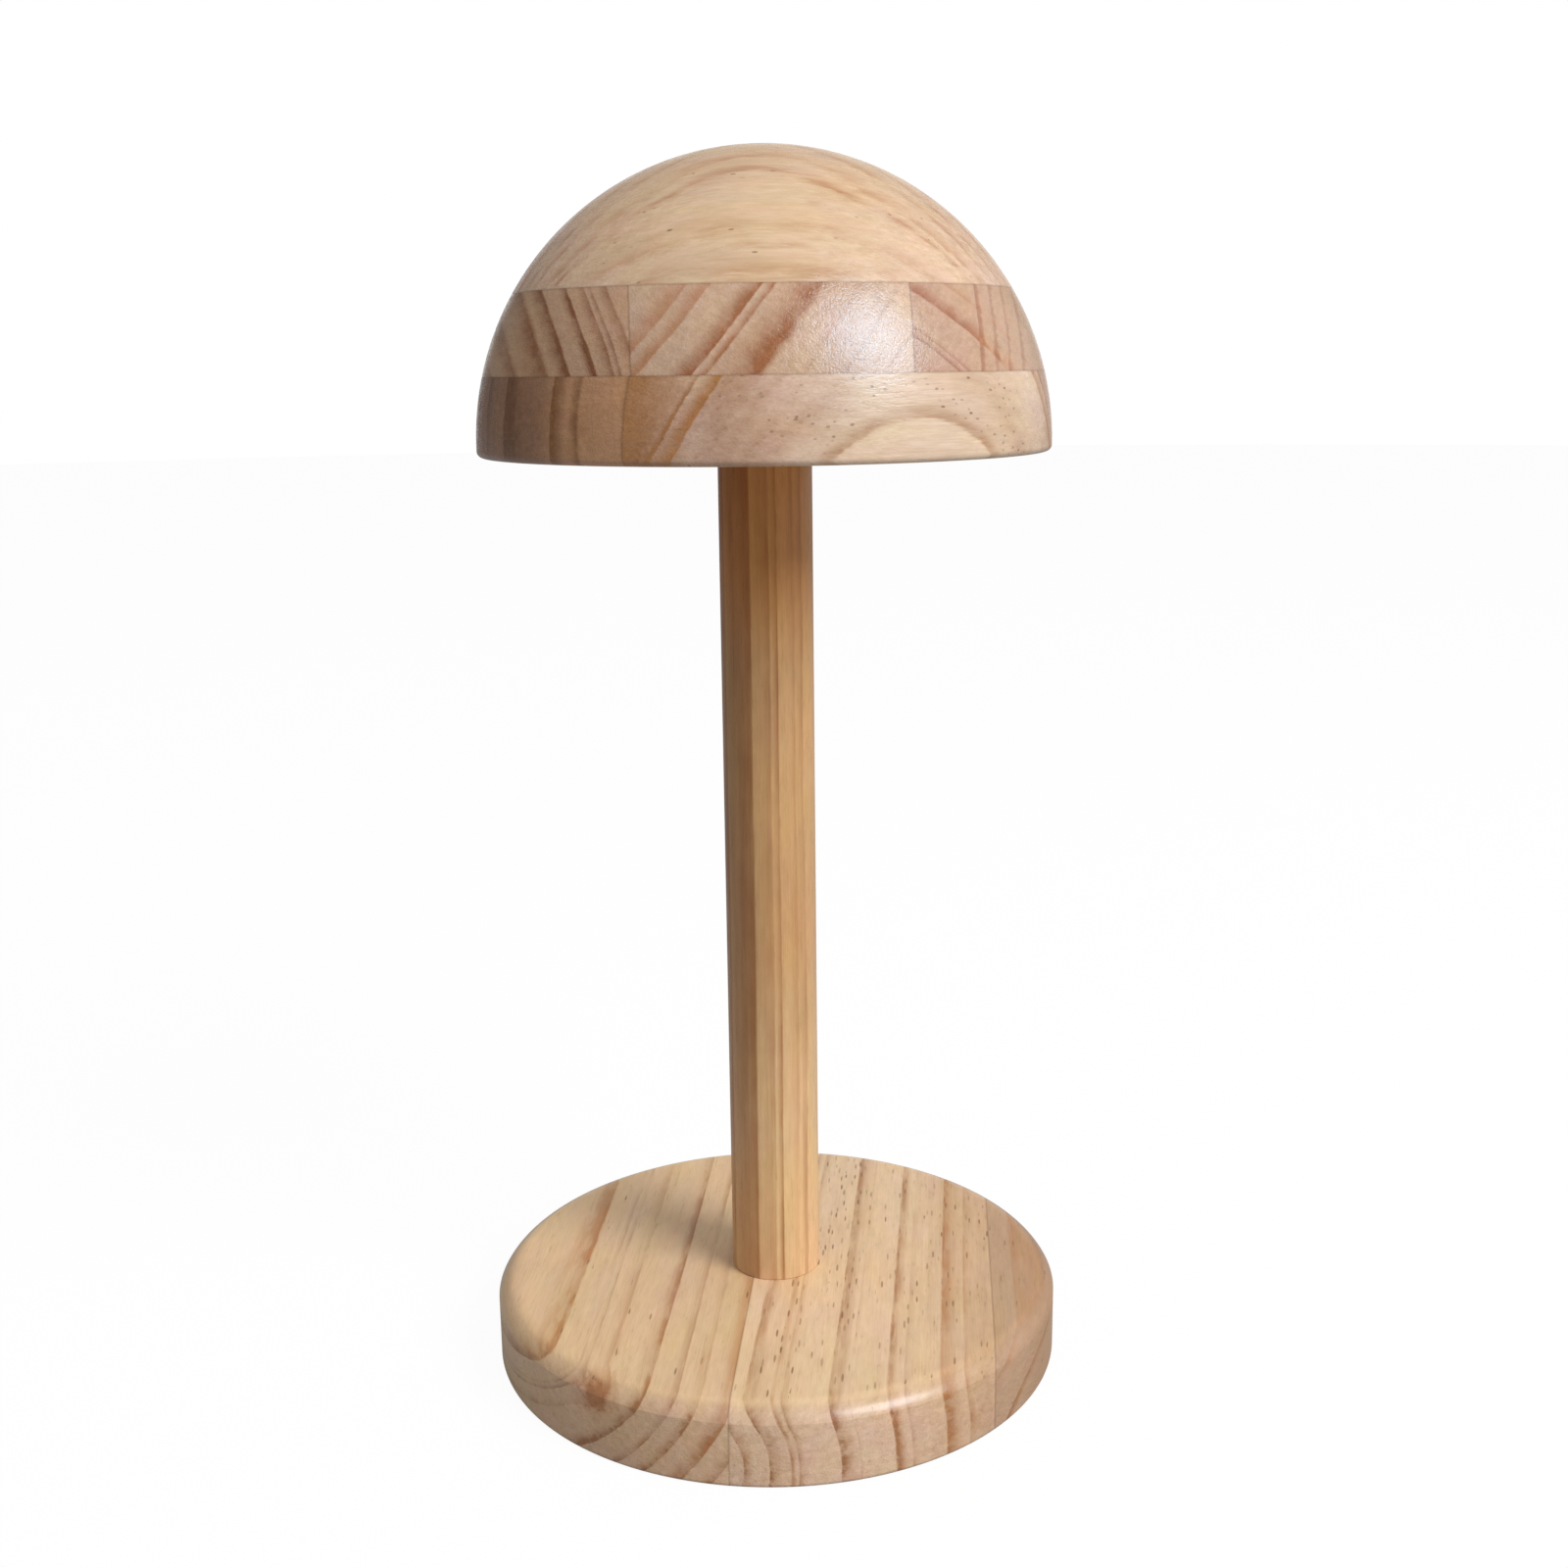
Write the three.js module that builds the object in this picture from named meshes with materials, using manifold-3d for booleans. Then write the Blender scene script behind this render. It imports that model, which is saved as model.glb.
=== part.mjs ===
// A pine hat stand: a round base, a dowel post and a solid dome that a hat rests on.
// The base is edge-glued from three boards. The dome is glued up from three layers whose
// grain runs in different directions, two of them made of three boards each, and then turned.
// A countersunk bolt holds the post on the base, and a hanger bolt holds the dome on the post.
// Millimetres, +Z up. The underside of the base is z = 0, and the front of the stand is -Y.

import * as THREE from 'three';
import { mergeVertices } from 'three/addons/utils/BufferGeometryUtils.js';
import Module from 'manifold-3d';

const wasm = await Module();
wasm.setup();

// Base: its size, and the places of its two glue joints along the boards' width. Its top edge
// is rounded over through less than a quarter turn, so it meets the side at a crisp shoulder.
const baseDiameter = 160;
const baseThickness = 22;
const baseTopRound = 4.5;
const baseTopSweep = 62;
const baseBottomEase = 1.5;
const baseGrainTurn = -5;
const baseJoints = [-5.5, 62];

// Post: a straight dowel, square at both ends apart from a small chamfer.
const postDiameter = 25;
const postLength = 232;
const postChamfer = 0.4;

// Dome: a hemisphere on a short straight band, its edge rounded below.
const domeDiameter = 150;
const domeBand = 2;
const domeRimRound = 1.6;
const layerThickness = 20.25;

// Grain turns are measured about +Z, for boards whose joints would otherwise run along Y.
const lowerGrainTurn = -56;
const lowerJoints = [-28, 38];
const middleGrainTurn = 4;
const middleJoints = [-34.5, 30];

// A glue line between two boards, and the play left around a screw in its bore.
const glueLine = 0.1;
const play = 0.3;

// Screws and inserts, M6. The bolt is a flat head with a hexagon socket.
const screwDiameter = 6;
const boltHeadDiameter = 12;
const boltHeadRecess = 0.8;
const boltLength = 34;
const socketAcrossFlats = 4;
const socketDepth = 2.2;
const insertDiameter = 10;
const insertLength = 13;
const insertSetBack = 0.5;
const insertSlotWidth = 1.6;
const insertSlotDepth = 1.8;
const studIntoPost = 28;
const studIntoDome = 14;
const studPoint = 5;
const screwChamfer = 0.8;

// How finely round shapes are divided.
const largeSides = 96;
const postSides = 64;
const screwSides = 32;
const arcStep = 4.5;

const baseRadius = baseDiameter / 2;
const postRadius = postDiameter / 2;
const domeRadius = domeDiameter / 2;
const screwRadius = screwDiameter / 2;
const insertRadius = insertDiameter / 2;
const postFoot = baseThickness;
const postHead = postFoot + postLength;
const domeRim = postHead;
const domeCentre = domeRim + domeBand;
const middleLayerLow = domeRim + layerThickness;
const capLow = middleLayerLow + layerThickness;
const domeTop = domeCentre + domeRadius;

// Points along an arc of the given radius, from one angle to another in degrees.
function arc(centreR, centreZ, radius, fromDegrees, toDegrees, steps) {
  const points = [];
  for (let i = 0; i <= steps; i += 1) {
    const t = THREE.MathUtils.degToRad(fromDegrees + ((toDegrees - fromDegrees) * i) / steps);
    points.push([centreR + radius * Math.cos(t), centreZ + radius * Math.sin(t)]);
  }
  return points;
}

// A closed geometry becomes a solid: shared vertices are merged, and the slivers that a
// turned shape has where it meets its axis are dropped.
function solid(geometry) {
  geometry.deleteAttribute('normal');
  geometry.deleteAttribute('uv');
  const merged = mergeVertices(geometry, 1e-4);
  const corners = merged.index.array;
  const kept = [];
  for (let i = 0; i < corners.length; i += 3) {
    const [a, b, c] = [corners[i], corners[i + 1], corners[i + 2]];
    if (a !== b && b !== c && c !== a) {
      kept.push(a, b, c);
    }
  }
  return new wasm.Manifold(new wasm.Mesh({
    numProp: 3,
    vertProperties: new Float32Array(merged.attributes.position.array),
    triVerts: new Uint32Array(kept),
  }));
}

// A turned solid about the Z axis. The outline is a list of [radius, height] points that runs
// up the outside, from the axis at the bottom to the axis at the top, or closes on itself.
function turned(outline, sides) {
  const points = outline.map(([r, z]) => new THREE.Vector2(r, z));
  const geometry = new THREE.LatheGeometry(points, sides);
  geometry.rotateX(Math.PI / 2);
  return solid(geometry);
}

// A plain round solid, used as a cutter for bores.
function round(radius, low, high, sides) {
  return turned([[0, low], [radius, low], [radius, high], [0, high]], sides);
}

// A layer of boards glued edge to edge, cut from one turned blank. Each joint is a plane
// across the boards' width, and the whole set of planes is turned by the grain's angle.
function boards(blank, joints, grainTurn) {
  const reach = 2 * baseDiameter;
  const edges = [-reach, ...joints, reach];
  const cut = [];
  for (let i = 0; i + 1 < edges.length; i += 1) {
    const low = edges[i] + glueLine / 2;
    const high = edges[i + 1] - glueLine / 2;
    const plank = new THREE.BoxGeometry(high - low, 2 * reach, 2 * domeTop);
    plank.translate((low + high) / 2, 0, domeTop / 2);
    plank.rotateZ(THREE.MathUtils.degToRad(grainTurn));
    cut.push(blank.intersect(solid(plank)));
  }
  return cut;
}

// The outline of one layer of the dome between two heights, all on the same hemisphere.
function domeLayer(low, high) {
  const angleAt = (z) => THREE.MathUtils.radToDeg(Math.asin((z - domeCentre) / domeRadius));
  const outline = [[0, low]];
  let fromAngle = angleAt(Math.max(low, domeCentre));
  if (low < domeCentre) {
    outline.push(...arc(domeRadius - domeRimRound, low + domeRimRound, domeRimRound, -90, 0, 4));
    fromAngle = 0;
  }
  const toAngle = angleAt(high);
  const steps = Math.ceil(((toAngle - fromAngle) * Math.PI * domeRadius) / 180 / arcStep);
  outline.push(...arc(0, domeCentre, domeRadius, fromAngle, toAngle, steps));
  const last = outline[outline.length - 1];
  last[1] = high;
  if (high < domeTop) {
    outline.push([0, high]);
  } else {
    last[0] = 0;
  }
  if (low >= domeCentre) {
    outline[1][1] = low;
  }
  return turned(outline, largeSides);
}

// The base: flat below with an eased edge, and rounded over above down to a shoulder.
function baseBlank() {
  const ease = baseBottomEase;
  const roundOver = baseTopRound;
  const run = roundOver * Math.sin(THREE.MathUtils.degToRad(baseTopSweep));
  const roundCentre = baseThickness - roundOver;
  return turned([
    [0, 0],
    ...arc(baseRadius - ease, ease, ease, -90, 0, 3),
    ...arc(baseRadius - run, roundCentre, roundOver, 90 - baseTopSweep, 90, 6),
    [0, baseThickness],
  ], largeSides);
}

// The space that a countersunk bolt takes in the base: a cone for the head and a clear hole.
function boltSeat() {
  const headRadius = boltHeadDiameter / 2 + play;
  const shankRadius = screwRadius + play;
  const coneTop = boltHeadRecess + headRadius - shankRadius;
  return turned([
    [0, -1],
    [headRadius, -1],
    [headRadius, boltHeadRecess],
    [shankRadius, coneTop],
    [shankRadius, baseThickness + 1],
    [0, baseThickness + 1],
  ], screwSides);
}

// The flat-head bolt that comes up through the base, with a hexagon socket in its head.
function baseBolt() {
  const low = boltHeadRecess;
  const headRadius = boltHeadDiameter / 2;
  const top = low + boltLength;
  const body = turned([
    [0, low],
    [headRadius, low],
    [headRadius, low + play / 2],
    [screwRadius, low + play / 2 + headRadius - screwRadius],
    [screwRadius, top - screwChamfer],
    [screwRadius - screwChamfer, top],
    [0, top],
  ], screwSides);
  const hexagonRadius = socketAcrossFlats / Math.sqrt(3);
  return body.subtract(round(hexagonRadius, low - 1, low + socketDepth, 6));
}

// The hanger bolt between post and dome: a pointed end for the post, a square end for the dome.
function domeStud() {
  const low = postHead - studIntoPost;
  const top = domeRim + studIntoDome;
  return turned([
    [0, low],
    [screwRadius, low + studPoint],
    [screwRadius, top - screwChamfer],
    [screwRadius - screwChamfer, top],
    [0, top],
  ], screwSides);
}

// A threaded insert: a sleeve with chamfered ends and a driving slot in its outer face.
function insert(low, slotAtTop) {
  const bore = screwRadius + play;
  const high = low + insertLength;
  const sleeve = turned([
    [bore, low],
    [insertRadius - screwChamfer, low],
    [insertRadius, low + screwChamfer],
    [insertRadius, high - screwChamfer],
    [insertRadius - screwChamfer, high],
    [bore, high],
    [bore, low],
  ], screwSides);
  const slotZ = slotAtTop ? high : low;
  const slot = new THREE.BoxGeometry(2 * insertDiameter, insertSlotWidth, 2 * insertSlotDepth);
  slot.translate(0, 0, slotZ);
  return sleeve.subtract(solid(slot));
}

// The post, bored at both ends: a wide bore for the insert in its foot with a narrower one
// beyond it for the tip of the bolt, and a pilot bore for the hanger bolt in its head.
function post() {
  const c = postChamfer;
  const blank = turned([
    [0, postFoot],
    [postRadius - c, postFoot],
    [postRadius, postFoot + c],
    [postRadius, postHead - c],
    [postRadius - c, postHead],
    [0, postHead],
  ], postSides);
  const insertTop = postFoot + insertSetBack + insertLength + play;
  const tipTop = boltHeadRecess + boltLength + 2;
  const footBore = round(insertRadius + play, postFoot - 1, insertTop, screwSides);
  const tipBore = round(screwRadius + play, postFoot - 1, tipTop, screwSides);
  const headBore = round(screwRadius + play, postHead - studIntoPost - play, postHead + 1, screwSides);
  return blank.subtract(footBore).subtract(tipBore).subtract(headBore);
}

const baseBoards = boards(baseBlank().subtract(boltSeat()), baseJoints, baseGrainTurn);
const insertBoreTop = domeRim + insertSetBack + insertLength + 2;
const domeInsertBore = round(insertRadius + play, domeRim - 1, insertBoreTop, screwSides);
const lowerBlank = domeLayer(domeRim, middleLayerLow).subtract(domeInsertBore);
const lowerBoards = boards(lowerBlank, lowerJoints, lowerGrainTurn);
const middleBoards = boards(domeLayer(middleLayerLow, capLow), middleJoints, middleGrainTurn);
const cap = domeLayer(capLow, domeTop);

// Finishes: clear satin varnish on pine, whose tone differs a little from board to board.
function pine(colour) {
  return new THREE.MeshStandardMaterial({ color: colour, roughness: 0.45, metalness: 0 });
}

const steel = () => new THREE.MeshStandardMaterial({ color: '#b9bbbd', roughness: 0.35, metalness: 1 });
const brass = () => new THREE.MeshStandardMaterial({ color: '#c9a55a', roughness: 0.4, metalness: 1 });

// A solid becomes a named mesh with its own material.
function piece(name, body, material) {
  const { vertProperties, triVerts } = body.getMesh();
  const geometry = new THREE.BufferGeometry();
  geometry.setAttribute('position', new THREE.BufferAttribute(new Float32Array(vertProperties), 3));
  geometry.setIndex(new THREE.BufferAttribute(new Uint32Array(triVerts), 1));
  geometry.computeVertexNormals();
  const mesh = new THREE.Mesh(geometry, material);
  mesh.name = name;
  return mesh;
}

const base = new THREE.Group();
base.add(piece('base_board_left', baseBoards[0], pine('#d3b088')));
base.add(piece('base_board_middle', baseBoards[1], pine('#d9b78f')));
base.add(piece('base_board_right', baseBoards[2], pine('#cda47e')));
base.add(piece('base_bolt', baseBolt(), steel()));

const column = new THREE.Group();
column.add(piece('post', post(), pine('#d8ab77')));
column.add(piece('post_insert', insert(postFoot + insertSetBack, false), brass()));
column.add(piece('dome_stud', domeStud(), steel()));

const dome = new THREE.Group();
dome.add(piece('dome_lower_board_back', lowerBoards[0], pine('#c99e76')));
dome.add(piece('dome_lower_board_middle', lowerBoards[1], pine('#c2936a')));
dome.add(piece('dome_lower_board_front', lowerBoards[2], pine('#d6b18c')));
dome.add(piece('dome_middle_board_left', middleBoards[0], pine('#bd9270')));
dome.add(piece('dome_middle_board_centre', middleBoards[1], pine('#c79c79')));
dome.add(piece('dome_middle_board_right', middleBoards[2], pine('#c49875')));
dome.add(piece('dome_cap', cap, pine('#dcbc94')));
dome.add(piece('dome_insert', insert(domeRim + insertSetBack, false), brass()));

const hatStand = new THREE.Group();
hatStand.name = 'hat_stand';
hatStand.add(base, column, dome);

export default hatStand;
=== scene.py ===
import math

import bmesh
import bpy
from mathutils import Matrix, Vector


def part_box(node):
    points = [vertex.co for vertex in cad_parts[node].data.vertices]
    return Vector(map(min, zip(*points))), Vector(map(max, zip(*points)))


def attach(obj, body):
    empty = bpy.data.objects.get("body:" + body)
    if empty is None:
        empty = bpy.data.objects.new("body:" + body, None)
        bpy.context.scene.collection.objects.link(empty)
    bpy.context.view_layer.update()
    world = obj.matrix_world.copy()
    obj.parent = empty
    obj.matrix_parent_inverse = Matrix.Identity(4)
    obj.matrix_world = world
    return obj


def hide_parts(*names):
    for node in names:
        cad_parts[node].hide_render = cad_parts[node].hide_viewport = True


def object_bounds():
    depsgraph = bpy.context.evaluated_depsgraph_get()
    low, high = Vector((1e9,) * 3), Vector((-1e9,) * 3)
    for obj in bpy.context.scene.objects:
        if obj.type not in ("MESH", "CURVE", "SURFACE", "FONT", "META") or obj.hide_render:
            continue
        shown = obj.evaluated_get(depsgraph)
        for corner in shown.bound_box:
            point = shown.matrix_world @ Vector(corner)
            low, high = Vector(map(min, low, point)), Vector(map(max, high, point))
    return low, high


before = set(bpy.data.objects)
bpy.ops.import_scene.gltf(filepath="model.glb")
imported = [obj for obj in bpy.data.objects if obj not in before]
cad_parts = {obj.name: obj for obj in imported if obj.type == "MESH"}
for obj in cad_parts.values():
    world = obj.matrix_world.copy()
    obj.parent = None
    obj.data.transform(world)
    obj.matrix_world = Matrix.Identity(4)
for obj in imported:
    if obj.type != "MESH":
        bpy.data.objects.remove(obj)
cad_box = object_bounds()
mm = 0.001


# The camera stands half a metre in front of the stand, about as high as the top of the dome's
# lower layer, and looks down by 13 degrees. Its frame is 1600 pixels wide, centred on the lens.
frame_pixels = 1600
focal_pixels = 1883.4
camera_place = Vector((0.9, -494.2, 276.1)) * mm
camera_yaw = 0.0063
camera_pitch = 0.2228
camera_roll = -0.0125

lens = bpy.data.cameras.new("camera")
lens.sensor_width = 36
lens.lens = lens.sensor_width * focal_pixels / frame_pixels
lens.clip_start = 0.01
camera = bpy.data.objects.new("camera", lens)
bpy.context.scene.collection.objects.link(camera)
camera.matrix_world = (
    Matrix.Translation(camera_place)
    @ Matrix.Rotation(-camera_yaw, 4, "Z")
    @ Matrix.Rotation(math.pi / 2 - camera_pitch, 4, "X")
    @ Matrix.Rotation(camera_roll, 4, "Z")
)
bpy.context.scene.camera = camera
bpy.context.scene.view_settings.view_transform = "Standard"


# Floor and surroundings: a pale sheet under the stand and behind it, white to the camera, with
# a light wall to the right and a dimmer room elsewhere. The floor keeps the stand's soft shadow.
class Socket:
    """A shader socket. Arithmetic on it adds Math nodes, and node() adds any other node."""

    def __init__(self, tree, output=None):
        self.tree = tree
        self.output = output

    def node(self, kind, settings, inputs, output=0):
        """Adds a node with its settings, then its inputs, and gives one of its outputs."""
        made = self.tree.nodes.new("ShaderNode" + kind)
        for name, value in settings.items():
            if name == "stops":
                ramp = made.color_ramp
                while len(ramp.elements) < len(value):
                    ramp.elements.new(1)
                for element, (place, colour) in zip(ramp.elements, value):
                    element.position = place
                    element.color = colour
            else:
                setattr(made, name, value)
        for name, value in inputs.items():
            if isinstance(value, Socket):
                self.tree.links.new(value.output, made.inputs[name])
            else:
                made.inputs[name].default_value = value
        return Socket(self.tree, made.outputs[output] if made.outputs else None)

    def __getitem__(self, name):
        return Socket(self.tree, self.output.node.outputs[name])

    def maths(self, operation, *values):
        return self.node("Math", {"operation": operation}, dict(enumerate(values)))

    def vectors(self, operation, *values, output=0):
        return self.node("VectorMath", {"operation": operation}, dict(enumerate(values)), output)

    def split(self):
        """A vector or colour taken apart, to be asked for its X, Y or Z."""
        return self.node("SeparateXYZ", {}, {"Vector": self})

    def join(self, *values):
        return self.node("CombineXYZ", {}, dict(enumerate(values)))

    def blend(self, factor, first, second, how="MIX"):
        """A mix of two colours. A Mix node has them on its inputs 6 and 7, and gives output 2."""
        settings = {"data_type": "RGBA", "blend_type": how}
        return self.node("Mix", settings, {0: factor, 6: first, 7: second}, 2)

    def noise(self, detail=2.0, rough=0.5, scale=1.0, output=0):
        """Soft random marks in the space of this vector."""
        inputs = {"Vector": self, "Scale": scale, "Detail": detail, "Roughness": rough}
        return self.node("TexNoise", {}, inputs, output)

    def between(self, low, high, to_low=0.0, to_high=1.0):
        """A smooth step over the values from low to high, either of which may be the larger."""
        return self.node("MapRange", {"interpolation_type": "SMOOTHSTEP"}, {
            "Value": self, "From Min": low, "From Max": high, "To Min": to_low, "To Max": to_high,
        })

    def at_least(self, other):
        return self.maths("MAXIMUM", self, other)

    def at_most(self, other):
        return self.maths("MINIMUM", self, other)

    def __add__(self, other):
        return self.maths("ADD", self, other)

    def __sub__(self, other):
        return self.maths("SUBTRACT", self, other)

    def __rsub__(self, other):
        return self.maths("SUBTRACT", other, self)

    def __mul__(self, other):
        return self.maths("MULTIPLY", self, other)

    def __truediv__(self, other):
        return self.maths("DIVIDE", self, other)

    def __pow__(self, other):
        return self.maths("POWER", self, other)

    def __abs__(self):
        return self.maths("ABSOLUTE", self)

    __radd__ = __add__
    __rmul__ = __mul__


def node_tree(owner):
    """The empty node tree of a material or world, as a socket to build on."""
    owner.use_nodes = True
    owner.node_tree.nodes.clear()
    return Socket(owner.node_tree)


def seen_by(tree):
    """Two masks: 1 for what the camera sees by itself, and 1 for what shows in a gloss."""
    path = tree.node("LightPath", {}, {})
    camera_ray = path["Is Camera Ray"]
    mirrored = path["Is Glossy Ray"] + path["Is Transmission Ray"]
    return camera_ray, mirrored.at_most(1 - camera_ray)


white = (1, 1, 1, 1)
wall_light = 0.09
ceiling_light = 0.75
backdrop_starts, backdrop_full = 0.88, 0.98
right_wall_starts, right_wall_full = 0.2, 0.8
room_in_gloss = 0.14
right_wall_in_gloss = 0.7
room = bpy.data.worlds.new("room")
bpy.context.scene.world = room
tree = node_tree(room)
camera_ray, mirrored = seen_by(tree)
direction = tree.node("TexCoord", {}, {}, "Generated").split()
lighting = wall_light + direction["Z"].at_least(0) * (ceiling_light - wall_light)
backdrop = direction["Y"].between(backdrop_starts, backdrop_full, room_in_gloss, 1.0)
right_wall = direction["X"].between(right_wall_starts, right_wall_full, 0.0, right_wall_in_gloss)
in_gloss = backdrop.at_least(right_wall)
brightness = camera_ray + in_gloss * mirrored + lighting * (1 - camera_ray - mirrored)
background = tree.node("Background", {}, {"Color": white, "Strength": brightness})
tree.node("OutputWorld", {}, {"Surface": background})

floor_reach = 6.0
floor_glow = 1.12
floor_own_white = 0.85
floor_in_gloss = 0.14
floor_grey = (0.32, 0.32, 0.32, 1)
floor_mesh = bpy.data.meshes.new("floor")
bm = bmesh.new()
bmesh.ops.create_circle(bm, cap_ends=True, radius=floor_reach, segments=64)
bm.to_mesh(floor_mesh)
bm.free()
floor = bpy.data.objects.new("floor", floor_mesh)
bpy.context.scene.collection.objects.link(floor)
floor_finish = bpy.data.materials.new("floor_paper")
tree = node_tree(floor_finish)
camera_ray, mirrored = seen_by(tree)
lit = tree.node("BsdfDiffuse", {}, {"Color": floor_grey})
glow = tree.node("Emission", {}, {"Color": white, "Strength": floor_glow})
share = camera_ray * floor_own_white + mirrored * floor_in_gloss
mixed = tree.node("MixShader", {}, {0: share, 1: lit, 2: glow})
tree.node("OutputMaterial", {}, {"Surface": mixed})
floor_mesh.materials.append(floor_finish)


# Lamp: a round soft box high at the front right, which makes the round gloss on the dome, the
# soft shadow of the post on the base and the shading to the left. It faces the post, 200 mm up.
lamp_width = 1.2
lamp_watts = 38.5
lamp_distance = 2.2
lamp_to_the_right = math.radians(49)
lamp_height = math.radians(38)
lamp_aim = Vector((0, 0, 200 * mm))
lamp_across = math.cos(lamp_height) * lamp_distance
lamp_way = Vector((
    math.sin(lamp_to_the_right) * lamp_across,
    -math.cos(lamp_to_the_right) * lamp_across,
    math.sin(lamp_height) * lamp_distance,
))
soft_box = bpy.data.lights.new("key_light", "AREA")
soft_box.shape = "DISK"
soft_box.size = lamp_width
soft_box.energy = lamp_watts
lamp = bpy.data.objects.new("key_light", soft_box)
bpy.context.scene.collection.objects.link(lamp)
lamp_turn = lamp_way.to_track_quat("Z", "Y").to_matrix().to_4x4()
lamp.matrix_world = Matrix.Translation(lamp_aim + lamp_way) @ lamp_turn


# Base: three pine boards, glued edge to edge with their length front to back, then turned to a
# disc with a rounded top edge. A countersunk hole for the bolt goes up through its centre.
# The joints are planes across the boards' width, turned with the grain.
base_turn = math.radians(-5)
base_joints = (-5.5 * mm, 62 * mm)
base_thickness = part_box("base_board_middle")[1].z
base_radius = cad_box[1][0]
base_top_round = 6.9 * mm
base_top_sweep = 64
base_shoulder_ease = 0.4 * mm
base_bottom_ease = 1.5 * mm
edge_band = 0.2 * mm
glue_line = 0.02 * mm
bolt_clearance = 0.3 * mm
bolt_radius = 3 * mm
bolt_head_radius = 6 * mm
bolt_head_recess = 0.8 * mm
fine_steps = 288
weld_reach = 0.002 * mm
saw_tolerance = 0.0005 * mm
crisp_angle = math.radians(20)


def arc(centre_radius, centre_height, radius, start, end, steps):
    """Points of an outline along an arc, between two angles in degrees."""
    angles = [math.radians(start + (end - start) * i / steps) for i in range(steps + 1)]
    return [
        (centre_radius + radius * math.cos(a), centre_height + radius * math.sin(a))
        for a in angles
    ]


def turned(outline, steps=fine_steps):
    """A closed solid turned about the stand's axis, from an outline of (radius, height)."""
    bm = bmesh.new()
    points = [bm.verts.new((radius, 0, height)) for radius, height in outline]
    edges = [bm.edges.new(pair) for pair in zip(points, points[1:])]
    bmesh.ops.spin(
        bm, geom=points + edges, cent=(0, 0, 0), axis=(0, 0, 1), angle=2 * math.pi,
        steps=steps, use_merge=True,
    )
    bmesh.ops.remove_doubles(bm, verts=bm.verts, dist=weld_reach)
    bmesh.ops.recalc_face_normals(bm, faces=bm.faces)
    return bm


def sawn(bm, turn, low, high):
    """Keeps the part of a turned blank between two joints, a board, with flat sawn sides."""
    across = Vector((math.cos(turn), math.sin(turn), 0))
    for place, way in ((low, -1), (high, 1)):
        if place is None:
            continue
        edge = place - way * glue_line / 2
        cut = bmesh.ops.bisect_plane(
            bm, geom=bm.verts[:] + bm.edges[:] + bm.faces[:], dist=saw_tolerance,
            plane_co=across * edge, plane_no=across * way, clear_outer=True,
        )
        rim = [e for e in cut["geom_cut"] if isinstance(e, bmesh.types.BMEdge)]
        bmesh.ops.holes_fill(bm, edges=rim, sides=0)
    bmesh.ops.recalc_face_normals(bm, faces=bm.faces)
    return bm


def finished(name, bm, node, material):
    """A mesh becomes a named piece that stands for its solid, with crisp edges kept crisp."""
    for face in bm.faces:
        face.smooth = True
    for edge in bm.edges:
        edge.smooth = edge.is_manifold and edge.calc_face_angle() < crisp_angle
    mesh = bpy.data.meshes.new(name)
    bm.to_mesh(mesh)
    bm.free()
    mesh.materials.append(material)
    piece = bpy.data.objects.new(name, mesh)
    bpy.context.scene.collection.objects.link(piece)
    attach(piece, "root")
    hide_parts(node)


def tone(red, green, blue):
    """A colour as a paint card gives it, from 0 to 255, as the shader wants it."""
    def linear(value):
        value /= 255
        return value / 12.92 if value <= 0.04045 else ((value + 0.055) / 1.055) ** 2.4
    return linear(red), linear(green), linear(blue), 1


orange_pine = tone(203, 138, 84)
resin_brown = tone(134, 96, 64)
glue_brown = tone(96, 62, 40)
end_grain_tint = (1.02, 0.99, 1.09, 1)
# Painted shade that darkens the colour of a rounded edge.
edge_painted_shade = (0.89, 0.88, 0.88, 1)
gloss_tint = (0.52, 0.78, 1.0, 1)
year_width = 2.3
year_length = 160.0
ring_margin = 12
ring_thinning = 1.6
hard_ring_edge = 0.3
canal_width = 0.3
canal_spacing = 2.1
glue_fades, glue_full = 0.4, 0.1
bump_depth = 0.14 * mm


def growth_rings(radius, rings, outward):
    """How dark and how warm the growth rings are at a radius, from pale early wood to dark late
    wood. Each has one soft and one hard edge, unless it says how wide its second one is."""
    least = min(ring[0] for ring in rings) - ring_margin
    most = max(ring[0] for ring in rings) + ring_margin
    stops = []
    for ring_radius, width, depth, warmth, *edge in sorted(rings):
        depth **= 1 / ring_thinning
        second = edge[0] if edge else hard_ring_edge
        before, after = (width, second) if outward > 0 else (second, width)
        for place, strength in ((-before, 0), (0, 1), (after, 0)):
            at = (ring_radius + place - least) / (most - least)
            stops.append((at, (depth * strength, warmth * strength, 0, 1)))
    place = (radius - least) / (most - least)
    marks = radius.node("ValToRGB", {"stops": stops}, {"Fac": place}).split()
    return marks["X"] ** ring_thinning, marks["Y"]


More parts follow.
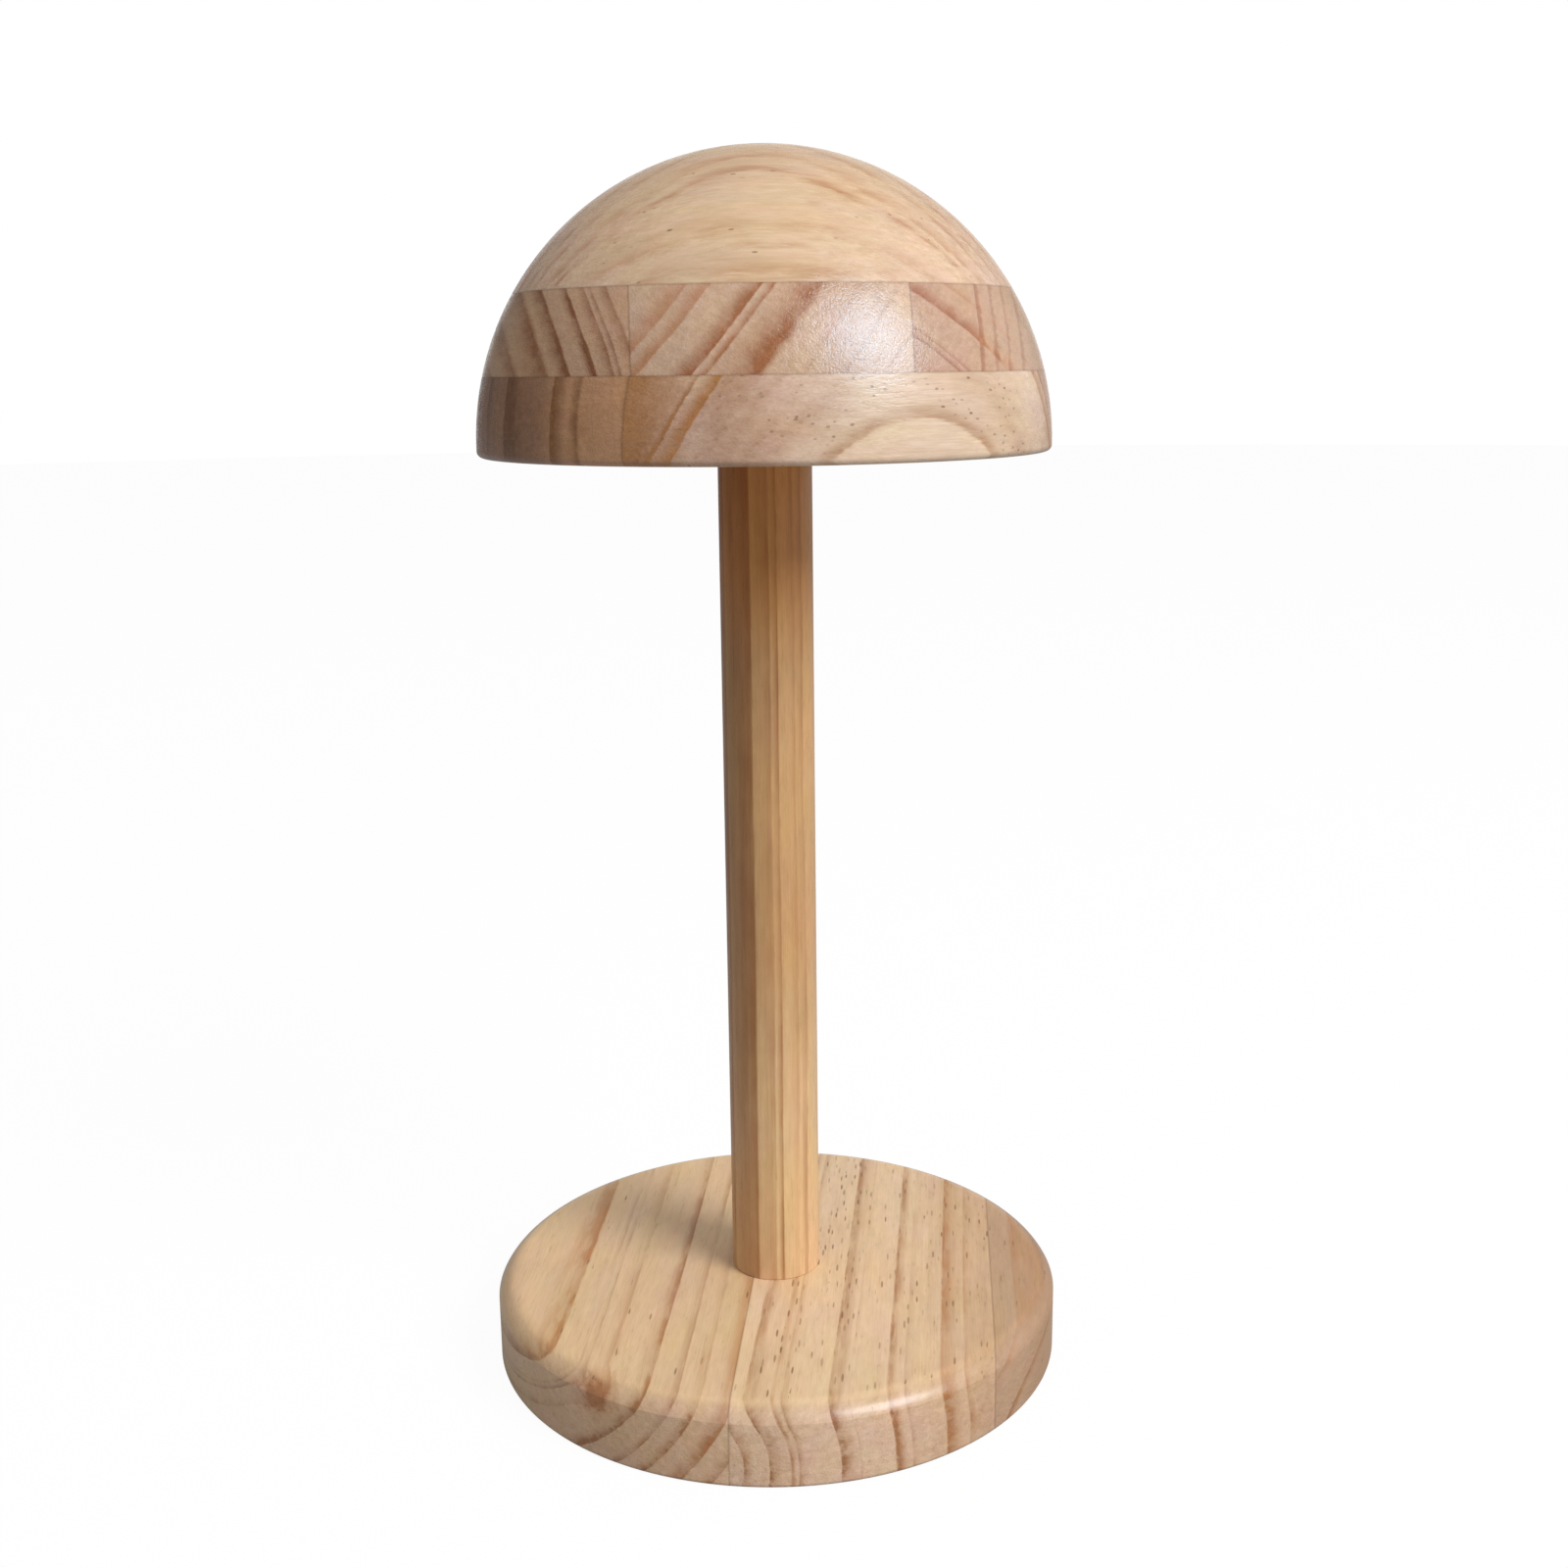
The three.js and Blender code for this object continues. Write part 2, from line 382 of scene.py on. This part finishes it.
def pine(
    name, turn, pith, rings, pale, late, orange=orange_pine, outward=1, drift=0.0, bow=0.0,
    heart=(0.0, 1.0, 0.0), stripes=(), knots=(), resin=0.0, dash=1.7, canals_to=1000.0,
    figure=1.0, fading=0.5, wobble=1.0, ragged=0.5, painted_shading=(), roughness=0.28, gloss=0.8,
    edge_varnish=0.0, joints=(), seams=(), seed=0,
):
    """Varnished pine, whose grain turn brings along the second axis. Lengths are millimetres.

    pith is where the middle of the tree would be, across and up. A ring is its radius, the
    width over which it darkens, its depth, its warmth and, where its other edge is soft too,
    the width of that one. outward is the side it ends on. Along the board the rings drift
    sideways, and they bow where the log was bent. heart is two radii between which the wood
    darkens all over, and by how much. A stripe is a place across the board, how far it reaches
    to either side, its depth and its warmth. A knot is a place in the board and a radius.
    resin is the share of resin canals that show, up to the radius canals_to, and dash is half the
    length of one. figure is the strength of the fine marks, fading that of the paler stretches in
    the rings, wobble how far the log wavers and ragged how rough the rings' edges are. Each zone
    of painted shading is a tint, painted shade from a cast shadow and painted warm light bounced
    into it, with the two places along the board between which it comes in.
    roughness and gloss are the varnish's. The edge weight is 1 where a rounded edge gets more
    coat and painted shade that darkens its colour. joints and seams are where glue lines run,
    across the board and up."""
    material = bpy.data.materials.new(name)
    tree = node_tree(material)
    coordinates = tree.node("TexCoord", {}, {}, "Object")
    board = tree.node("Mapping", {}, {
        "Vector": coordinates, "Rotation": turn, "Scale": (1 / mm, 1 / mm, 1 / mm),
    })

    def marks(across, along, shift, detail=2.0, rough=0.5, output=0):
        """Soft random marks of a length in millimetres across and along the grain."""
        stretch = (1 / across, 1 / along, 1 / across)
        place = tree.vectors("MULTIPLY_ADD", board, stretch, (shift, seed * 3.7, shift * 0.6))
        return place.noise(detail, rough, output=output)

    # Fibres and mottling run along the grain. On end grain the same marks turn to fine specks.
    fibres = marks(0.5, 14.0, 0.0, 2.0, 0.6) - 0.5
    mottle = marks(1.5, 8.0, 6.6, 3.0, 0.65) - 0.5
    patches = marks(5.0, 26.0, 8.1) - 0.5
    streaks = marks(1.7, 80.0, 3.1, 2.0, 0.6) - 0.5
    clouds = marks(28.0, 60.0, 5.5, 1.0) - 0.5

    # The log wavers slowly along its length, and its rings are a little uneven.
    slow = marks(55.0, 150.0, seed + 1.3, 1.0, output="Color")
    quick = marks(9.0, 90.0, seed + 7.9, output="Color")
    waver = tree.vectors("MULTIPLY_ADD", slow, (5.0 * wobble,) * 3, (-2.5 * wobble,) * 3)
    uneven = tree.vectors("MULTIPLY_ADD", quick, (1.6 * wobble,) * 3, (-0.8 * wobble,) * 3)
    axes = tree.vectors("ADD", tree.vectors("ADD", board, waver), uneven).split()
    across = axes["X"] + axes["Y"] * (axes["Y"] * bow + drift) - pith[0]
    up = axes["Z"] - pith[1]
    radius = (across * across + up * up) ** 0.5 + (fibres * 0.5 + mottle * 1.3) * ragged

    # Knots, dark in the middle, push the rings aside.
    knotted = 0.0
    around_knots = 0.0
    for *centre, size in knots:
        from_knot = tree.vectors("SUBTRACT", board, centre)
        from_knot = tree.vectors("LENGTH", from_knot, output="Value") / size + mottle * 0.8
        knotted = knotted + from_knot.between(1.1, 0.5)
        around_knots = around_knots + from_knot.between(2.2, 0.4)
    radius = radius - around_knots * 3.0

    # Growth rings have darker and paler stretches, and fainter rings between them. The
    # heartwood and the stripes add to them.
    ring, warm = growth_rings(radius, rings, outward)
    broken = (mottle + patches * 1.2).between(-0.16, 0.16, 1 - fading, 1 + fading * 0.5)
    ring = ring * broken
    warm = warm * broken + around_knots * 0.5
    years = tree.join(radius / year_width, axes["Y"] / year_length, seed * 1.7)
    faint_rings = years.noise() - 0.5
    heartwood = radius.between(heart[0], heart[1], 0.0, heart[2]) + knotted * 0.9
    for place, to_left, to_right, depth, warmth in stripes:
        stripe = axes["X"].between(place - to_left, place)
        stripe = stripe * (axes["X"] + mottle * 2.0).between(place + to_right, place)
        heartwood = heartwood + stripe * depth
        warm = warm + stripe * warmth
    warm = warm.at_most(1)

    # Rays cross the rings as short pale and dark threads.
    girth = (min(rings)[0] + max(rings)[0]) / 2
    round_angle = up.maths("ARCTAN2", up, abs(across)) * girth
    rays = tree.join(round_angle / 0.9, radius / 6.0, axes["Y"] / 5.0).noise() - 0.5

    # End grain shows where the surface faces along the grain. The round of an edge gets more
    # coat, so more shine, and painted shade that darkens its colour a little.
    normal = tree.node("TexCoord", {}, {}, "Normal")
    normal = tree.node("Mapping", {"vector_type": "NORMAL"}, {"Vector": normal, "Rotation": turn})
    facing = normal.split()
    end_grain = abs(facing["Y"]).between(0.25, 0.9)
    rounded = facing["Z"].between(0.3, 0.5) * facing["Z"].between(0.99, 0.85) * edge_varnish

    # Resin canals: short dark dashes along the grain and faint dots on end grain, in loose rows.
    cell = (canal_spacing, 2.0 + dash * 4, canal_spacing)
    canal = (1 / canal_width, 1 / dash, 1 / canal_width)
    places = tree.vectors("DIVIDE", board, cell)
    cells = tree.node("TexVoronoi", {}, {"Vector": places, "Scale": 1.0})
    away = tree.vectors("MULTIPLY", tree.vectors("SUBTRACT", cells["Position"], places), cell)
    away = tree.vectors("SUBTRACT", away, tree.vectors("PROJECT", away, normal))
    away = tree.vectors("MULTIPLY", away, canal)
    away = tree.vectors("LENGTH", away, output="Value") + mottle * 1.5
    chosen = cells["Color"].split()
    rows = (faint_rings + patches * 1.2).between(-0.06, 0.06)
    dashes = away.between(1.15, 0.6) * chosen["X"].between(1 - resin, 1.02 - resin)
    dashes = dashes * rows * chosen["Y"].between(0.0, 1.0, 0.4, 1.0) * (1 - end_grain * 0.75)
    dashes = dashes * radius.between(canals_to, canals_to - 1)

    # Glue lines, as a hair of dark where two boards or two layers meet.
    glued = 0.0
    plain = board.split()
    for axis, edges in (("X", joints), ("Z", seams)):
        for edge in edges:
            glued = glued + abs(plain[axis] - edge).between(glue_fades, glue_full)

    # The colour goes from pale to late wood and to orange, and all the marks tint it.
    darkness = ring * (1 + streaks * 0.9 + end_grain * 0.45) + heartwood
    darkness = darkness + (faint_rings * 0.32 + streaks * 0.25 + patches * 0.25) * figure
    colour = tree.blend(darkness.at_least(0).at_most(1), pale, late)
    colour = tree.blend(warm, colour, orange)
    hues = marks(9.0, 32.0, 9.1, 4.0, 0.6, output="Color")
    hues = tree.vectors("MULTIPLY_ADD", hues, (0.14, 0.12, 0.40), (0.93, 0.94, 0.80))
    colour = tree.blend(1.0, colour, hues, "MULTIPLY")
    shade = fibres * 0.20 + clouds * 0.14
    shade = shade + (mottle * 0.30 + rays * 0.14) * (1 + end_grain * 0.8) * figure
    shade = tree.join(1 + shade * 0.85, 1 + shade, 1 + shade * 1.25)
    colour = tree.blend(1.0, colour, shade, "MULTIPLY")
    colour = tree.blend(end_grain, colour, tree.blend(1.0, colour, end_grain_tint, "MULTIPLY"))
    # Painted shade and painted light: tints along the board stand in for a shadow cast on it and
    # the warm light bounced into that shadow.
    for tint, begins, full in painted_shading:
        tinted = tree.blend(1.0, colour, tint, "MULTIPLY")
        colour = tree.blend(axes["Y"].between(begins, full), colour, tinted)
    # Painted shade: a rounded edge's colour is darkened, because the lamp lights the round more
    # than the flat top.
    colour = tree.blend(rounded, colour, tree.blend(1.0, colour, edge_painted_shade, "MULTIPLY"))
    colour = tree.blend(dashes * 0.8, colour, resin_brown)
    if joints or seams:
        colour = tree.blend(glued * 0.25, colour, glue_brown)

    height = (fibres * 0.7 + mottle * 0.6) * (1 + end_grain * 0.5) + ring * 0.3
    bump = tree.node("Bump", {}, {"Strength": 0.6, "Distance": bump_depth, "Height": height})
    shader = tree.node("BsdfPrincipled", {}, {
        "Base Color": colour, "Roughness": roughness + fibres * 0.4 + mottle * 0.4,
        "Normal": bump, "Specular IOR Level": gloss, "Specular Tint": gloss_tint,
        "Coat Weight": 0.06 + rounded * 0.5, "Coat Roughness": 0.23,
    })
    tree.node("OutputMaterial", {}, {"Surface": shader})
    return material


def glued_boards(layer, outline, turn, joints, boards, slot, first_seed, **finish):
    """Makes the boards of one glued layer, from one joint to the next, each of its own wood."""
    edges = [None, *joints, None]
    for index, (side, wood) in enumerate(boards.items()):
        low, high = edges[index:index + 2]
        glued_at = [edge / mm for edge in (low, high) if edge is not None]
        material = pine(
            f"{layer}_{side}_pine", (0, 0, -turn), joints=glued_at, seed=first_seed + index,
            **finish, **wood,
        )
        solid = sawn(turned(outline), turn, low, high)
        finished(f"{layer}_{side}", solid, f"{layer}_board_{side}", material)


bolt_hole = bolt_radius + bolt_clearance
head_hole = bolt_head_radius + bolt_clearance
base_round_inside = base_top_round - base_shoulder_ease
base_shoulder = math.radians(base_top_sweep)
base_top_flat = base_radius - base_shoulder_ease - base_round_inside * math.sin(base_shoulder)
base_round_centre = base_thickness - base_top_round
base_outline = [
    (head_hole, 0),
    (base_radius - base_bottom_ease - edge_band, 0),
    *arc(base_radius - base_bottom_ease, base_bottom_ease, base_bottom_ease, -90, 0, 8),
    *arc(
        base_radius - base_shoulder_ease,
        base_round_centre + base_round_inside * math.cos(base_shoulder),
        base_shoulder_ease, 0, 90 - base_top_sweep, 4,
    ),
    *arc(base_top_flat, base_round_centre, base_top_round, 90 - base_top_sweep, 90, 18)[1:],
    (base_top_flat - edge_band, base_thickness),
    (bolt_hole, base_thickness),
    (bolt_hole, bolt_head_recess + head_hole - bolt_hole),
    (head_hole, bolt_head_recess),
    (head_hole, 0),
]
base_knot = (-40.8, -67.8, 17.5, 4.5)
base_boards = {
    "left": {
        "pith": (-80.8, 55.1), "pale": tone(228, 193, 151), "resin": 0.12, "knots": [base_knot],
        "rings": [
            (42.0, 4.5, 0.75, 0.5), (47.5, 1.2, 0.3, 0.0), (49.0, 1.2, 0.45, 0.0),
            (53.5, 3.0, 0.35, 0.1), (63.7, 3.5, 0.85, 0.2), (70.4, 2.5, 0.55, 0.1),
            (75.8, 3.0, 0.75, 0.15), (83.2, 4.0, 0.7, 0.5), (89.3, 3.5, 0.6, 0.2),
        ],
    },
    "middle": {
        "pith": (-16.5, 5.3), "pale": tone(235, 202, 163), "resin": 0.68, "outward": -1,
        "drift": -0.018, "stripes": [(62.0, 30.0, 10.0, 0.36, 0.05)],
        "rings": [
            (16.2, 3.0, 0.6, 0.2), (22.8, 4.0, 0.65, 0.1), (28.3, 1.7, 0.5, 0.2),
            (30.3, 2.0, 0.4, 0.1), (40.8, 4.5, 0.7, 0.1), (45.2, 1.0, 0.4, 0.0),
            (54.5, 3.0, 0.85, 0.25), (58.5, 2.0, 0.25, 0.0), (67.2, 4.0, 0.7, 0.4),
            (73.0, 1.5, 0.3, 0.2),
        ],
    },
    "right": {
        "pith": (118.0, -30.0), "pale": tone(200, 164, 130), "resin": 0.3,
        "stripes": [(78.0, 13.0, 20.0, 0.45, 0.1)],
        "rings": [(61.4, 2.2, 0.95, 0.1), (72.0, 4.0, 0.3, 0.25), (84.0, 4.0, 0.4, 0.2)],
    },
}
# The base's rounded top edge gets more coat and painted shade.
glued_boards(
    "base", base_outline, base_turn, base_joints, base_boards, "base_pine", 1,
    late=tone(168, 120, 78), dash=2.0, wobble=0.4, ragged=0.45, roughness=0.36, gloss=0.3,
    edge_varnish=1.0,
)


# Metal inside the stand: a zinc-plated bolt up through the base, a hanger bolt between post and
# dome, and two brass inserts. The wood closes round all of it but the head of the bolt.
marks_around = 60
marks_along = 3000
marks_depth = 0.05 * mm
spots_scale = 420.0
spots_shade = 0.72


def turned_metal(name, colour, roughness):
    """Machined metal with fine turning marks round the axis and a slightly uneven shine."""
    material = bpy.data.materials.new(name)
    tree = node_tree(material)
    place = tree.node("TexCoord", {}, {}, "Object")
    marks = tree.vectors("MULTIPLY", place, (marks_around, marks_around, marks_along)).noise()
    spots = place.noise(3.0, scale=spots_scale)
    dark = tuple(spots_shade * part for part in colour[:3]) + (1,)
    tint = tree.blend(spots * 0.6, colour, dark)
    bump = tree.node("Bump", {}, {"Strength": 0.3, "Distance": marks_depth, "Height": marks})
    shader = tree.node("BsdfPrincipled", {}, {
        "Base Color": tint, "Metallic": 1.0, "Normal": bump,
        "Roughness": roughness + spots * 0.15 + marks * 0.1,
    })
    tree.node("OutputMaterial", {}, {"Surface": shader})
    return material


zinc = turned_metal("zinc_plate", (0.62, 0.63, 0.64, 1), 0.22)
brass = turned_metal("turned_brass", (0.72, 0.55, 0.26, 1), 0.25)
for node, metal in (
    ("base_bolt", zinc), ("dome_stud", zinc), ("post_insert", brass), ("dome_insert", brass),
):
    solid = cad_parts[node]
    solid.data.materials.clear()
    solid.data.materials.append(metal)


# Post: a pine dowel, square at both ends, with the grain along it. It is bored below for its
# threaded insert and the tip of the bolt, and above for the hanger bolt.
post_low, post_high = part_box("post")
post_radius = post_high.x
post_chamfer = 0.4 * mm
post_steps = 128
bore_end = 2 * mm
insert_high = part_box("post_insert")[1]
insert_hole = insert_high.x + bolt_clearance
insert_hole_top = insert_high.z + bolt_clearance
bolt_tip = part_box("base_bolt")[1].z + bore_end
stud_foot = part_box("dome_stud")[0].z - bolt_clearance
post_outline = [
    (0, bolt_tip),
    (bolt_hole, bolt_tip),
    (bolt_hole, insert_hole_top),
    (insert_hole, insert_hole_top),
    (insert_hole, post_low.z),
    (post_radius - post_chamfer - edge_band, post_low.z),
    *arc(post_radius - post_chamfer, post_low.z + post_chamfer, post_chamfer, -90, 0, 4),
    *arc(post_radius - post_chamfer, post_high.z - post_chamfer, post_chamfer, 0, 90, 4),
    (post_radius - post_chamfer - edge_band, post_high.z),
    (bolt_hole, post_high.z),
    (bolt_hole, stud_foot),
    (0, stud_foot),
]
post_rings = [
    (51.0, 5.0, 0.3, 0.2), (59.5, 8.0, 0.25, 0.2), (64.5, 4.3, 0.3, 0.15),
    (66.3, 1.3, 0.5, 0.3), (69.9, 2.0, 0.2, 0.1), (71.5, 1.2, 0.3, 0.1),
]
# Painted shade on the post: it darkens upwards into the dome's soft shadow, and right under the
# dome a warm tint paints the light bounced down from the dome.
post_painted_dome_shadow = [((0.79, 0.68, 0.56, 1), 45.0, 140.0), ((1.27, 1.07, 0.81, 1), 195.0, 228.0)]
post_wood = pine(
    "post_pine", (-math.pi / 2, 0, 0), (-60.0, -10.0), post_rings,
    tone(242, 204, 156), tone(146, 81, 24), orange=tone(184, 108, 44), wobble=0.28,
    fading=0.25, figure=1.1, ragged=0.25, heart=(60.1, 59.1, 0.32), roughness=0.34,
    gloss=0.35, painted_shading=post_painted_dome_shadow, seed=11,
)
finished("post_dowel", turned(post_outline, post_steps), "post", post_wood)


# Dome, lower layer: three boards under the middle of the dome, with their grain turned towards
# the front left. The rim below is rounded, and a blind bore takes the insert for the stud.
dome_rim, dome_radius = post_high.z, 75 * mm
dome_band = 2 * mm
dome_centre = dome_rim + dome_band
dome_rim_round = 1.6 * mm
dome_step = 0.9 * mm
lower_turn = math.radians(-56)
lower_joints = (-28 * mm, 38 * mm)
lower_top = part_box("dome_lower_board_front")[1].z
dome_bore_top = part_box("dome_insert")[1].z + bore_end


def dome_side(low, high):
    """The dome's outer outline between two heights, both above its widest point."""
    start = math.degrees(math.asin((low - dome_centre) / dome_radius))
    end = math.degrees(math.asin((high - dome_centre) / dome_radius))
    steps = math.ceil(math.radians(end - start) * dome_radius / dome_step)
    return arc(0, dome_centre, dome_radius, start, end, steps)


lower_outline = [
    (0, dome_bore_top),
    (insert_hole, dome_bore_top),
    (insert_hole, dome_rim),
    (dome_radius - dome_rim_round - edge_band, dome_rim),
    *arc(dome_radius - dome_rim_round, dome_rim + dome_rim_round, dome_rim_round, -90, 0, 8),
    *dome_side(dome_centre, lower_top),
    (0, lower_top),
]
lower_arch = 119.8
lower_amber = (lower_joints[1] / mm, 1.0, 18.0, 0.75, 0.6)
lower_pink = (56.0, 6.0, 10.0, 0.4, 0.1)
lower_boards = {
    "back": {
        "pith": (199.0, 269.0), "pale": tone(214, 178, 140), "late": tone(150, 98, 60),
        "heart": (220.0, 250.0, 0.3), "resin": 0.1,
        "rings": [
            (230.0, 5.0, 0.5, 0.1), (241.0, 5.0, 0.6, 0.1), (252.0, 5.0, 0.5, 0.1),
            (262.0, 5.0, 0.5, 0.1),
        ],
    },
    "middle": {
        "pith": (199.0, 269.0), "pale": tone(204, 155, 108), "late": tone(88, 42, 18),
        "heart": (172.0, 192.0, 0.5),
        "rings": [
            (160.4, 1.0, 0.3, 0.2, 2.0), (172.6, 1.0, 0.5, 0.3, 3.0),
            (180.4, 4.6, 0.8, 0.5, 0.6), (200.0, 10.0, 0.55, 0.35, 1.0),
            (212.0, 4.0, 0.2, 0.0), (222.0, 4.0, 0.2, 0.0),
        ],
    },
    "front": {
        "pith": (-41.6, 295.0), "pale": tone(238, 208, 178), "late": tone(158, 108, 74),
        "heart": (lower_arch, 119.2, 0.16), "resin": 0.95, "canals_to": 119.6,
        "drift": -0.093, "stripes": [lower_amber, lower_pink],
        "rings": [
            (99.5, 1.1, 0.6, 0.2), (102.7, 2.7, 0.5, 0.5), (115.5, 9.0, 0.15, 0.1, 2.4),
            (lower_arch, 1.4, 0.6, 0.2),
        ],
    },
}
glued_boards(
    "dome_lower", lower_outline, lower_turn, lower_joints, lower_boards, "dome_lower_pine", 21,
    orange=tone(200, 142, 72), dash=0.6, wobble=0.5, fading=0.3, seams=[lower_top / mm],
)


# Dome, middle layer: three boards glued over the lower layer with their length front to back,
# so that their end grain shows at the front, in broad slanting bands.
middle_turn = math.radians(4)
middle_joints = (-34.5 * mm, 30 * mm)
middle_low, middle_top = (corner.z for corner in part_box("dome_middle_board_centre"))
middle_outline = [(0, middle_low), *dome_side(middle_low, middle_top), (0, middle_top)]
middle_haze = (14.0, 10.0, 18.0, 0.22, 0.1)
middle_shake = (47.5, 0.3, 3.0, 0.6, 0.25)
middle_clear = (49.5, 1.5, 60.0, -0.6, 0.0)
middle_streaks = [
    (52.0, 1.4, 1.8, 0.95, 0.1), (56.0, 1.0, 2.0, 0.9, 0.1), (60.5, 0.8, 2.4, 0.9, 0.1),
]
middle_boards = {
    "left": {
        "pith": (-299.0, 196.0), "pale": tone(206, 166, 128), "late": tone(112, 64, 34),
        "rings": [
            (243.0, 6.0, 0.3, 0.1), (249.1, 5.5, 0.5, 0.2, 1.5), (257.0, 6.0, 0.7, 0.3, 1.5),
            (262.4, 3.6, 1.0, 0.3, 0.6), (268.3, 2.4, 0.9, 0.25, 0.5), (272.4, 3.0, 0.45, 0.2),
            (274.0, 1.2, 0.35, 0.1), (277.6, 3.0, 0.4, 0.2),
        ],
    },
    "centre": {
        "pith": (-269.2, 494.4), "pale": tone(210, 177, 141), "late": tone(130, 76, 42),
        "stripes": [middle_haze],
        "rings": [
            (319.0, 5.0, 0.3, 0.5), (323.0, 3.6, 0.35, 0.5), (332.0, 4.5, 0.7, 0.4),
            (334.3, 1.9, 0.6, 0.4), (342.4, 7.6, 0.85, 0.4, 2.2), (351.0, 6.0, 0.12, 0.1),
            (358.5, 1.0, 0.2, 0.0), (366.0, 1.0, 0.2, 0.0),
        ],
    },
    "right": {
        "pith": (-16.4, 204.4), "pale": tone(199, 162, 129), "late": tone(130, 78, 56),
        "outward": -1, "stripes": [middle_shake, middle_clear, *middle_streaks],
        "rings": [
            (86.0, 3.0, 0.15, 0.2), (90.8, 1.2, 0.5, 0.2), (92.4, 1.1, 0.35, 0.2),
            (100.0, 3.5, 0.75, 0.4), (106.0, 1.5, 0.2, 0.2),
        ],
    },
}
glued_boards(
    "dome_middle", middle_outline, middle_turn, middle_joints, middle_boards,
    "dome_middle_pine", 31, wobble=0.5, ragged=0.22, fading=0.3, roughness=0.25, gloss=0.72,
    seams=[middle_low / mm, middle_top / mm],
)


# Dome cap: one thick pale block on top, with its grain from left to right, turned to the round
# top of the dome. Its rings show as low arches.
cap_turn = math.radians(-90)
cap_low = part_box("dome_cap")[0].z
cap_pole_gap = 0.001 * mm
dome_top = dome_centre + dome_radius
cap_side = dome_side(cap_low, dome_top - cap_pole_gap)
cap_outline = [(0, cap_low), *cap_side[:-1], (0, dome_top)]
cap_rings = [
    (70.0, 3.0, 0.35, 0.1), (74.5, 2.5, 0.35, 0.1), (77.5, 1.5, 0.35, 0.1),
    (79.6, 1.2, 0.3, 0.1), (81.7, 1.2, 0.25, 0.1), (82.6, 0.5, 0.4, 0.1),
    (84.4, 0.8, 0.2, 0.1), (85.3, 0.5, 0.3, 0.1), (87.5, 1.6, 0.35, 0.1),
    (91.0, 2.0, 0.35, 0.2),
]
cap_wood = pine(
    "dome_cap_pine", (0, 0, -cap_turn), (-11.0, 254.0), cap_rings,
    tone(225, 192, 157), tone(176, 122, 80), bow=0.008, seams=[cap_low / mm], seed=41,
    wobble=0.6, fading=0.8, resin=0.1, dash=0.8, ragged=0.45, figure=1.3,
)
finished("dome_top", turned(cap_outline), "dome_cap", cap_wood)
